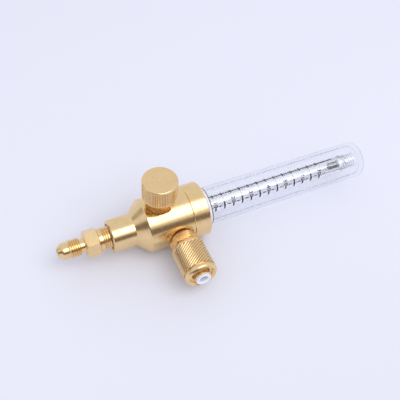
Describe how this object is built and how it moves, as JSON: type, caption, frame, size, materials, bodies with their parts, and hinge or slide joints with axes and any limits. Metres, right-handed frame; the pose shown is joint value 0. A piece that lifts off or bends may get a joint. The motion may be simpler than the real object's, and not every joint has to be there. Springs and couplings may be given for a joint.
{
  "type": "purge gas flowmeter",
  "caption": "Brass gas flowmeter with a clear tube and float, a knob-operated needle valve, a flare outlet and a knurled swivel inlet.",
  "frame": {"origin": "middle of the outlet's flare thread, on the body's axis", "axes": "+X along the body's axis towards the closed end of the clear cover, +Z up along the knob's axis, the inlet coupling points along -Y. In use +X points up."},
  "size_m": [0.2055, 0.0654, 0.0557],
  "materials": {
    "turned_brass": "turned and polished",
    "knurled_brass": "knurled, satin",
    "clear_cover": "clear polycarbonate",
    "clear_flow_tube": "clear, polished",
    "clear_cap": "clear moulded plastic",
    "black_rubber": "smooth",
    "polished_steel": "polished",
    "spring_steel": "drawn wire",
    "white_plastic": "smooth moulded",
    "fibre": "pressed fibre",
    "sintered_bronze": "sintered grains"
  },
  "bodies": {
    "flowmeter": {"valve_body": "turned_brass", "outlet_fitting": "turned_brass", "tube_collar": "turned_brass", "cover_tube": "clear_cover", "cover_ring": "black_rubber", "flow_tube": "clear_flow_tube", "flow_tube_gasket": "black_rubber", "lower_float_stop": "white_plastic", "upper_float_stop": "white_plastic", "spring_cap": "clear_cap", "tube_spring": "spring_steel", "gland_nut": "turned_brass", "gland_gasket": "fibre", "stem_ring": "black_rubber", "valve_seat": "white_plastic", "inlet_nipple": "turned_brass", "nipple_gasket": "fibre", "inlet_filter": "sintered_bronze", "seal_insert": "white_plastic"},
    "needle": {"needle": "polished_steel"},
    "stem": {"valve_stem": "turned_brass", "control_knob": "knurled_brass", "knob_set_screw": "spring_steel"},
    "float": {"meter_float": "polished_steel"},
    "retainer": {"coupling_retainer": "spring_steel"},
    "coupling": {"coupling_nut": "knurled_brass"}
  },
  "joints": [
    {"name": "spindle_rise", "type": "slide", "parent": "flowmeter", "child": "needle", "axis": [0, 0, 1], "range_m": [0, 0.00225]},
    {"name": "knob_turn", "type": "hinge", "parent": "needle", "child": "stem", "pos_m": [0.0535, 0, 0], "axis": [0, 0, 1], "range_deg": [0, 1080]},
    {"name": "float_travel", "type": "slide", "parent": "flowmeter", "child": "float", "axis": [1, 0, 0], "range_m": [-0.0975, 0.0003]},
    {"name": "coupling_slide", "type": "slide", "parent": "flowmeter", "child": "retainer", "axis": [0, -1, 0], "range_m": [0, 0.0055]},
    {"name": "coupling_spin", "type": "hinge", "parent": "retainer", "child": "coupling", "pos_m": [0.06175, -0.035, 0], "axis": [0, -1, 0], "continuous": true}
  ],
  "couplings": [
    {"joint": "knob_turn", "follows": "spindle_rise", "rad_per_m": 8377.6}
  ]
}
